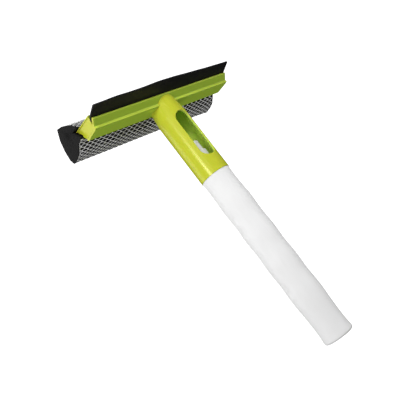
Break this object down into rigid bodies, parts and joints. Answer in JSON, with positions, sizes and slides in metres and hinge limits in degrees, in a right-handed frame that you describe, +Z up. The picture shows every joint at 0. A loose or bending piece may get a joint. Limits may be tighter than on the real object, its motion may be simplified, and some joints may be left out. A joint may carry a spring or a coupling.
{
  "type": "window cleaning squeegee",
  "caption": "Hand window squeegee with a rubber blade on one side of its head, a net-covered sponge on the other, and a refillable spray bottle as its handle.",
  "frame": {"origin": "centre of the bottle's flat base, on the surface it stands on", "axes": "+Z up the handle to the head, +X along the blade, -Y the side that the blade and the finger window face, +Y the sponge's side"},
  "size_m": [0.208, 0.0848, 0.3457],
  "materials": {
    "lime_plastic": "moulded, satin gloss",
    "blade_rubber": "smooth, matt",
    "black_foam": "open-cell foam",
    "net_yarn": "knitted net of grey yarn",
    "carrier_plastic": "moulded, matt",
    "bottle_plastic": "blow-moulded, satin",
    "seal_rubber": "smooth",
    "pump_plastic": "moulded, satin",
    "piston_plastic": "natural polyethylene",
    "spring_steel": "drawn wire",
    "ball_steel": "polished",
    "tube_plastic": "clear tube"
  },
  "bodies": {
    "bottle": {"bottle": "bottle_plastic"},
    "seal": {"mouth_gasket": "seal_rubber"},
    "head": {"head_frame": "lime_plastic", "end_cap_left": "lime_plastic", "end_cap_right": "lime_plastic", "squeegee_blade": "blade_rubber", "sponge_foam": "black_foam", "sponge_net": "net_yarn", "sponge_carrier": "carrier_plastic", "pump_collar": "pump_plastic", "stem_guide": "pump_plastic", "housing_seal": "seal_rubber", "pump_housing": "pump_plastic", "return_spring": "spring_steel", "dip_tube": "tube_plastic"},
    "button": {"spray_button": "pump_plastic", "nozzle_insert": "pump_plastic", "pump_stem": "pump_plastic", "pump_piston": "piston_plastic"},
    "inlet_valve": {"inlet_ball": "ball_steel"},
    "outlet_valve": {"outlet_ball": "ball_steel"}
  },
  "joints": [
    {"name": "head_unscrew", "type": "hinge", "parent": "bottle", "child": "seal", "pos_m": [0, 0, 0.2222], "axis": [0, 0, 1], "range_deg": [0, 540]},
    {"name": "head_lift", "type": "slide", "parent": "seal", "child": "head", "axis": [0, 0, 1], "range_m": [0, 0.006]},
    {"name": "button_press", "type": "slide", "parent": "head", "child": "button", "axis": [0, 0, -1], "range_m": [0, 0.0055], "stiffness_N_per_m": 900, "springref_m": -0.006, "deforming": ["return_spring"]},
    {"name": "inlet_ball_lift", "type": "slide", "parent": "head", "child": "inlet_valve", "axis": [0, 0, 1], "range_m": [0, 0.001]},
    {"name": "outlet_ball_lift", "type": "slide", "parent": "button", "child": "outlet_valve", "axis": [0, 0, 1], "range_m": [0, 0.0008]}
  ],
  "couplings": [
    {"joint": "head_lift", "follows": "head_unscrew", "m_per_rad": 0.00063662}
  ]
}
